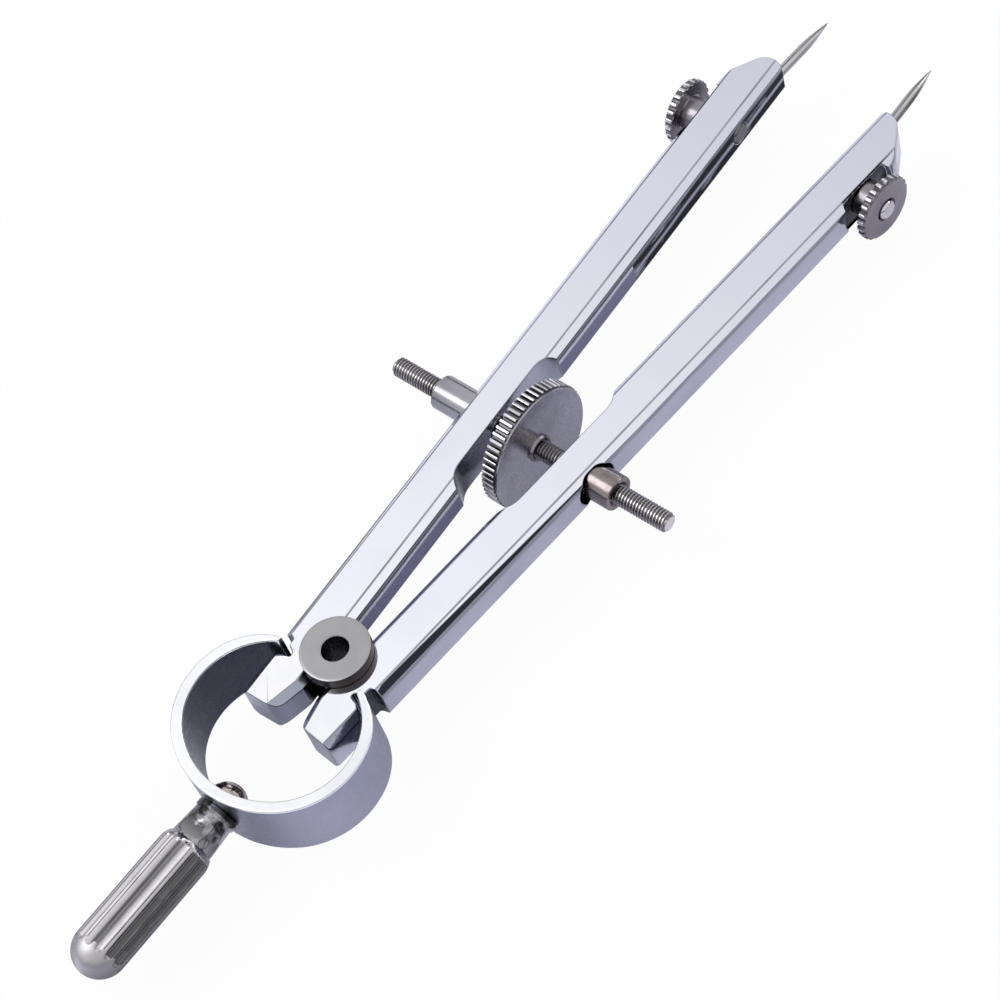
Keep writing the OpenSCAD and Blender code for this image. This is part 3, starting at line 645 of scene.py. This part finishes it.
def threadedRod(look):
    bm = bmesh.new()
    pitch, steps = look["pitch"], look["steps"]
    turns = math.ceil((look["right"] - look["left"]) / pitch) + 2
    start = look["left"] - pitch
    # one turn of the thread as shares of the pitch, root to crest and back
    profile = [(0, look["root"]), (0.1, look["root"]), (0.42, look["radius"]),
               (0.58, look["radius"]), (0.9, look["root"]), (1, look["root"])]
    verts = [bm.verts.new((start + share * pitch, r, 0)) for share, r in profile]
    edges = [bm.edges.new(pair) for pair in zip(verts, verts[1:])]
    bmesh.ops.spin(bm, geom=verts + edges, cent=(0, 0, 0), axis=(1, 0, 0),
                   dvec=(pitch / steps, 0, 0), angle=fullTurn * turns, steps=steps * turns,
                   use_merge=False, use_normal_flip=False, use_duplicate=False)
    bmesh.ops.remove_doubles(bm, verts=bm.verts, dist=0.002)
    for x, way in ((look["left"], -1), (look["right"], 1)):
        bmesh.ops.bisect_plane(bm, geom=bm.verts[:] + bm.edges[:] + bm.faces[:], dist=0.0001,
                               plane_co=(x, 0, 0), plane_no=(way, 0, 0), clear_outer=True)
        rim = [e for e in bm.edges if e.is_boundary and abs(e.verts[0].co.x - x) < 0.01
               and abs(e.verts[1].co.x - x) < 0.01]
        bmesh.ops.edgeloop_fill(bm, edges=rim)
        # lead-in: the thread's crests are turned down towards the end
        for v in bm.verts:
            room = look["root"] - 0.05 + abs(v.co.x - x)
            reach = math.hypot(v.co.y, v.co.z)
            if abs(v.co.x - x) < look["lead"] and reach > room:
                v.co.y *= room / reach
                v.co.z *= room / reach

    def pick(middle, normal):
        # painted shade on the roots and one flank of the thread; the cut ends bright
        deep = math.hypot(middle.y, middle.z) < look["root"] + 0.05
        return 1 if abs(normal.x) < 0.99 and (normal.x < -0.3 or deep) else 0

    finishPiece(bm, "adjustingScrew", onScrew(), "adjusting_screw", "screwNickel",
                ["adjusting_screw"], 25, zones=("threadPaintedShade",), pick=pick)


threadedRod(screwLook)
print("compass: screw")


def drawOut(bm, rim):
    # extrudes a rim in place; returns the new points and the new rim
    grown = bmesh.ops.extrude_edge_only(bm, edges=rim)["geom"]
    return ([g for g in grown if isinstance(g, bmesh.types.BMVert)],
            [g for g in grown if isinstance(g, bmesh.types.BMEdge) and g.is_boundary])


def toothedRing(bm, look, x0, x1):
    # one tooth's line is copied round the X axis, then drawn out from x0 to x1
    pitch = fullTurn / look["teeth"]
    crest, root = look["radius"], look["radius"] - look["depth"]
    line = [(-0.5, root), (-0.36, root), (-0.20, crest - 0.05), (-0.12, crest), (0.12, crest),
            (0.20, crest - 0.05), (0.36, root), (0.5, root)]
    verts = [bm.verts.new((x0, r * math.cos(a * pitch), r * math.sin(a * pitch)))
             for a, r in line]
    edges = [bm.edges.new(pair) for pair in zip(verts, verts[1:])]
    bmesh.ops.spin(bm, geom=verts + edges, cent=(0, 0, 0), axis=(1, 0, 0), dvec=(0, 0, 0),
                   angle=fullTurn, steps=look["teeth"], use_merge=False, use_normal_flip=False,
                   use_duplicate=True)
    bmesh.ops.remove_doubles(bm, verts=bm.verts, dist=0.003)
    rim = bm.edges[:]
    verts, edges = drawOut(bm, rim)
    bmesh.ops.translate(bm, vec=(x1 - x0, 0, 0), verts=verts)
    return rim, edges


def toothZone(middle, normal, look, hubZone):
    # 1 is a painted highlight on the crests of the teeth, 2 painted shade in their gaps, 0 on the
    # flat faces
    reach = math.hypot(middle.y, middle.z)
    if reach < look["hub"] + 0.12:
        return hubZone
    if abs(normal.x) > 0.5 or reach < look["radius"] - look["depth"] - 0.1:
        return 0
    return 1 if reach > look["radius"] - look["depth"] * 0.35 else 2


def stepIn(bm, rim, x, scale):
    # carries a closed rim on to a new place along X and a new size
    verts, edges = drawOut(bm, rim)
    bmesh.ops.translate(bm, vec=(x - verts[0].co.x, 0, 0), verts=verts)
    bmesh.ops.scale(bm, vec=(1, scale, scale), verts=verts)
    return edges


def circleRim(bm, x, radius, count):
    spot = Matrix.Translation((x, 0, 0)) @ Matrix.Rotation(math.pi / 2, 4, "Y")
    made = bmesh.ops.create_circle(bm, cap_ends=False, radius=radius, segments=count, matrix=spot)
    found = set(made["verts"])
    return [e for e in bm.edges if e.verts[0] in found and e.verts[1] in found]


def turnedFace(bm, outer, points, count):
    # from a toothed rim inwards over (x, radius) points; returns the last rim
    rim = circleRim(bm, points[0][0], points[0][1], count)
    bmesh.ops.bridge_loops(bm, edges=outer + rim)
    for (_, last), (x, r) in zip(points, points[1:]):
        rim = stepIn(bm, [e for e in rim if e.is_valid], x, r / last)
    return rim


wheelLook = {"teeth": 60, "radius": 9.62, "depth": 0.46, "left": -1.645, "right": 0.58,
             "band": 0.42, "hub": 2.0, "hubRise": 0.3, "bore": 1.56}


def adjustingWheel(look):
    bm = bmesh.new()
    x0, x1, hub, bore, r = (look[k] for k in ("left", "right", "hub", "bore", "radius"))
    face = x1 + look["band"]
    hubFront, hubBack = face + look["hubRise"], x0 - look["hubRise"]
    low, high = toothedRing(bm, look, x0 + 0.12, x1)
    low = stepIn(bm, low, x0, 0.985)
    count = len(high)
    highEnd = turnedFace(bm, high, [
        (x1 + 0.01, r - 0.62), (x1 + 0.03, r - 0.24), (face - 0.1, r - 0.2), (face, r - 0.32),
        (face - 0.05, r - 1.3), (face - 0.06, hub + 0.9), (face - 0.16, hub + 0.55),
        (face - 0.16, hub + 0.15), (hubFront - 0.08, hub), (hubFront, hub - 0.12),
        (hubFront - 0.05, bore + 0.25), (hubFront - 0.3, bore)], count)
    lowEnd = turnedFace(bm, low, [
        (x0, r - 0.9), (x0, hub + 0.4), (x0, hub + 0.02), (hubBack + 0.08, hub),
        (hubBack, hub - 0.12), (hubBack, bore + 0.2), (hubBack + 0.2, bore)], count)
    bmesh.ops.bridge_loops(bm, edges=highEnd + lowEnd)
    bmesh.ops.remove_doubles(bm, verts=bm.verts, dist=0.001)
    finishPiece(bm, "adjustingWheel", onScrew(), "adjusting_wheel", "wheelNickel",
                ["adjusting_wheel"], 28, zones=("toothPaintedHighlight", "toothGapPaintedShade", "thumbNickel"),
                pick=lambda middle, normal: toothZone(middle, normal, look, 3))


adjustingWheel(wheelLook)
print("compass: wheel")

sleeveLook = {"seatX": 10.498, "radius": 2.65, "ball": 3.5, "bore": 1.55, "bevel": 0.22,
              "sink": 0.5, "left": 6.8, "right": 4.6,
              "leftFinish": ("nutSteel", "nut_nickel"), "rightFinish": ("nutWarm", "warm_nickel")}


def sleeveNut(side, look):
    r, ball, bore, e, reach = (look[k] for k in ("radius", "ball", "bore", "bevel", side))
    bm = bmesh.new()
    rim = -math.sqrt(ball ** 2 - r ** 2)
    mouth = -math.sqrt(ball ** 2 - bore ** 2)
    radii = [bore + (r - bore) * i / 5 for i in range(6)]
    arc = [(-math.sqrt(ball ** 2 - q ** 2), q) for q in radii]
    lathe(bm, arc + [(rim + 0.1, r), (reach - e, r), (reach - e * 0.3, r - e * 0.3),
                     (reach, r - e), (reach, bore + 0.35), (reach - look["sink"], bore),
                     (mouth, bore)], 72)
    finish, slot = look[side + "Finish"]
    finishPiece(bm, side + "SleeveNut", onScrew(sides[side] * look["seatX"], side == "left"),
                side + "_sleeve_nut", finish, [side + "_sleeve_nut"])


for side in sides:
    sleeveNut(side, sleeveLook)
print("compass: sleeve nuts")

clampLook = {"along": 101.2, "teeth": 24, "radius": 5.05, "depth": 0.30, "face": 12.04,
             "thick": 1.4, "hub": 2.7, "hubEnd": 7.95, "bore": 1.55, "dome": 0.14}


def thumbNut(side, look):
    bm = bmesh.new()
    x1, r, hub, hubEnd, bore = (look[k] for k in ("face", "radius", "hub", "hubEnd", "bore"))
    x0 = x1 - look["thick"]
    low, high = toothedRing(bm, look, x0 + 0.15, x1 - 0.34)
    low = stepIn(bm, low, x0, 0.975)
    count = len(high)
    top = turnedFace(bm, high, [(x1 - 0.12, r - 0.33), (x1 - 0.03, r - 0.45), (x1, r - 0.6),
                                (x1, r - 1.2), (x1, bore + 0.3), (x1 - 0.3, bore)], count)
    bottom = turnedFace(bm, low, [(x0, r - 0.9), (x0, hub + 0.2), (x0 - 0.15, hub),
                                  (hubEnd + 0.15, hub), (hubEnd, hub - 0.15),
                                  (hubEnd, bore)], count)
    bmesh.ops.bridge_loops(bm, edges=top + bottom)
    bmesh.ops.remove_doubles(bm, verts=bm.verts, dist=0.001)
    # the bore takes painted shade, the teeth painted highlight and painted shade
    finishPiece(bm, side + "ThumbNut", onLeg(sides[side], look["along"]), side + "_thumb_nut",
                "thumbNickel", [side + "_thumb_nut"], 28,
                zones=("toothPaintedHighlight", "toothGapPaintedShade", "hollowPaintedShade"), pick=lambda middle, normal:
                3 if math.hypot(middle.y, middle.z) < bore + 0.29
                else toothZone(middle, normal, look, 0))


for side, way in sides.items():
    thumbNut(side, clampLook)
    stud = solidCopy(side + "_clamp_stud")
    roundEdges(stud, clampLook["dome"], 3, 30)
    out = onLeg(way, 0).to_3x3() @ Vector((1, 0, 0))
    # the stud's shank near the leg takes painted shade
    finishPiece(stud, side + "ClampStud", Matrix(), side + "_clamp_stud",
                "studBright", [side + "_clamp_stud"], zones=("threadPaintedShade",),
                pick=lambda middle, normal: 1 if middle.dot(out) < clampLook["hub"] else 0)
print("compass: clamps")

for side in sides:
    needle = solidCopy(side + "_needle")
    finishPiece(needle, side + "Needle", Matrix(), side + "_needle",
                "needleSteelPaintedReflection", [side + "_needle"], 40)
print("compass: needles")

room = {
    "middle": (0.0, 0.035),  # metres, as all lengths of the room are
    "sheetHeight": -0.00975,
    "sheetRadius": 0.26,
    "sheetFade": (0.4, 0.95),  # shares of the radius between which the sheet goes white
    "sheetColor": (0.80, 0.80, 0.87),
    "sheetToCamera": (0.95, 1.0),  # share of plain white, in the middle and at the rim
    "sheetToMetal": 0.08,
    "tableColor": (0.10, 0.10, 0.12),
    "tableReach": 4,
    "tableDrop": 0.0005,
    "skyColor": (0.95, 0.95, 1.0),
    "skyLight": 0.85,
    "band": {"radius": 0.9, "top": 0.13, "color": (0.05, 0.05, 0.065)},
    "lamps": [
        # name, place, size, watts
        ("keyBox", (-0.38, -0.34, 0.78), (0.50, 0.50), 2.4),
        ("backBox", (0.10, 0.85, 0.42), (0.60, 0.30), 1.2),
    ],
}


def seenBy(tree, *kinds):
    # 1 where a ray of one of these kinds arrives, else 0
    path = tree.nodes.new("ShaderNodeLightPath")
    out = path.outputs[kinds[0]]
    for kind in kinds[1:]:
        both = tree.nodes.new("ShaderNodeMath")
        both.operation = "MAXIMUM"
        tree.links.new(out, both.inputs[0])
        tree.links.new(path.outputs[kind], both.inputs[1])
        out = both.outputs[0]
    return out


def stageMesh(name, bm):
    mesh = bpy.data.meshes.new(name)
    bm.to_mesh(mesh)
    bm.free()
    thing = bpy.data.objects.new(name, mesh)
    scene.collection.objects.link(thing)
    return thing


def whiteShare(mat, share):
    # blends the surface with plain white by the given share
    tree = mat.node_tree
    glow = tree.nodes.new("ShaderNodeEmission")
    blend = tree.nodes.new("ShaderNodeMixShader")
    tree.links.new(share, blend.inputs[0])
    tree.links.new(tree.nodes["Principled BSDF"].outputs[0], blend.inputs[1])
    tree.links.new(glow.outputs[0], blend.inputs[2])
    tree.links.new(blend.outputs[0], tree.nodes["Material Output"].inputs[0])


def paperSheet(look):
    bm = bmesh.new()
    spot = Matrix.Translation((*look["middle"], look["sheetHeight"]))
    bmesh.ops.create_circle(bm, cap_ends=True, radius=look["sheetRadius"], segments=96,
                            matrix=spot)
    sheet = stageMesh("paperSheet", bm)
    mat = bpy.data.materials.new("paper")
    mat.use_nodes = True
    tree, add = nodeTools(mat)
    paper = tree.nodes["Principled BSDF"]
    paper.inputs["Base Color"].default_value = (*look["sheetColor"], 1)
    paper.inputs["Roughness"].default_value = 0.9
    coords = add("ShaderNodeTexCoord")
    away = add("ShaderNodeVectorMath", operation="DISTANCE")
    away.inputs[1].default_value = (*look["middle"], look["sheetHeight"])
    tree.links.new(coords.outputs["Object"], away.inputs[0])
    fade = add("ShaderNodeMapRange")
    fade.inputs["From Min"].default_value = look["sheetRadius"] * look["sheetFade"][0]
    fade.inputs["From Max"].default_value = look["sheetRadius"] * look["sheetFade"][1]
    fade.inputs["To Min"].default_value, fade.inputs["To Max"].default_value = look["sheetToCamera"]
    tree.links.new(away.outputs["Value"], fade.inputs["Value"])
    toCamera = scaled(tree, seenBy(tree, "Is Camera Ray"), fade.outputs["Result"])
    toMetal = scaled(tree, seenBy(tree, "Is Glossy Ray", "Is Transmission Ray"),
                     look["sheetToMetal"])
    share = add("ShaderNodeMath", operation="MAXIMUM")
    tree.links.new(toCamera, share.inputs[0])
    tree.links.new(toMetal, share.inputs[1])
    whiteShare(mat, share.outputs[0])
    sheet.data.materials.append(mat)


def tableTop(look):
    bm = bmesh.new()
    spot = Matrix.Translation((*look["middle"], look["sheetHeight"] - look["tableDrop"]))
    bmesh.ops.create_grid(bm, x_segments=1, y_segments=1, size=look["tableReach"], matrix=spot)
    table = stageMesh("tableTop", bm)
    mat = bpy.data.materials.new("table")
    mat.use_nodes = True
    top = mat.node_tree.nodes["Principled BSDF"]
    top.inputs["Base Color"].default_value = (*look["tableColor"], 1)
    top.inputs["Roughness"].default_value = 0.8
    whiteShare(mat, seenBy(mat.node_tree, "Is Camera Ray"))
    table.data.materials.append(mat)


def card(name, bm, color):
    # a card that only shows in polished metal
    thing = stageMesh(name, bm)
    mat = bpy.data.materials.new(name)
    mat.use_nodes = True
    tree = mat.node_tree
    glow = tree.nodes.new("ShaderNodeEmission")
    glow.inputs["Color"].default_value = (*color, 1)
    tree.links.new(glow.outputs[0], tree.nodes["Material Output"].inputs[0])
    thing.data.materials.append(mat)
    thing.visible_camera = False
    thing.visible_diffuse = False
    thing.visible_shadow = False


def darkBand(look):
    # a dark ring round the room, low over the floor
    band = look["band"]
    bm = bmesh.new()
    spot = Matrix.Translation((*look["middle"], look["sheetHeight"]))
    bmesh.ops.create_circle(bm, cap_ends=False, radius=band["radius"], segments=64, matrix=spot)
    top, _ = drawOut(bm, bm.edges[:])
    bmesh.ops.translate(bm, vec=(0, 0, band["top"] - look["sheetHeight"]), verts=top)
    card("horizonBand", bm, band["color"])


def skyAndLamps(look):
    world = bpy.data.worlds.new("studio")
    scene.world = world
    world.use_nodes = True
    tree = world.node_tree
    ambient = tree.nodes["Background"]
    ambient.inputs["Color"].default_value = (*look["skyColor"], 1)
    ambient.inputs["Strength"].default_value = look["skyLight"]
    white = tree.nodes.new("ShaderNodeBackground")
    white.inputs["Color"].default_value = (1, 1, 1, 1)
    white.inputs["Strength"].default_value = 1.0
    blend = tree.nodes.new("ShaderNodeMixShader")
    shiny = seenBy(tree, "Is Camera Ray", "Is Glossy Ray", "Is Transmission Ray")
    tree.links.new(shiny, blend.inputs[0])
    tree.links.new(ambient.outputs[0], blend.inputs[1])
    tree.links.new(white.outputs[0], blend.inputs[2])
    tree.links.new(blend.outputs[0], tree.nodes["World Output"].inputs[0])
    for name, place, size, watts in look["lamps"]:
        lamp = bpy.data.lights.new(name, "AREA")
        lamp.shape = "RECTANGLE"
        lamp.size, lamp.size_y = size
        lamp.energy = watts
        lampObject = bpy.data.objects.new(name, lamp)
        lampObject.location = place
        aim = Vector((*look["middle"], 0)) - Vector(place)
        lampObject.rotation_euler = aim.to_track_quat("-Z", "Y").to_euler()
        scene.collection.objects.link(lampObject)


paperSheet(room)
tableTop(room)
darkBand(room)
skyAndLamps(room)
scene.view_settings.view_transform = "Standard"
print("compass: room lit")
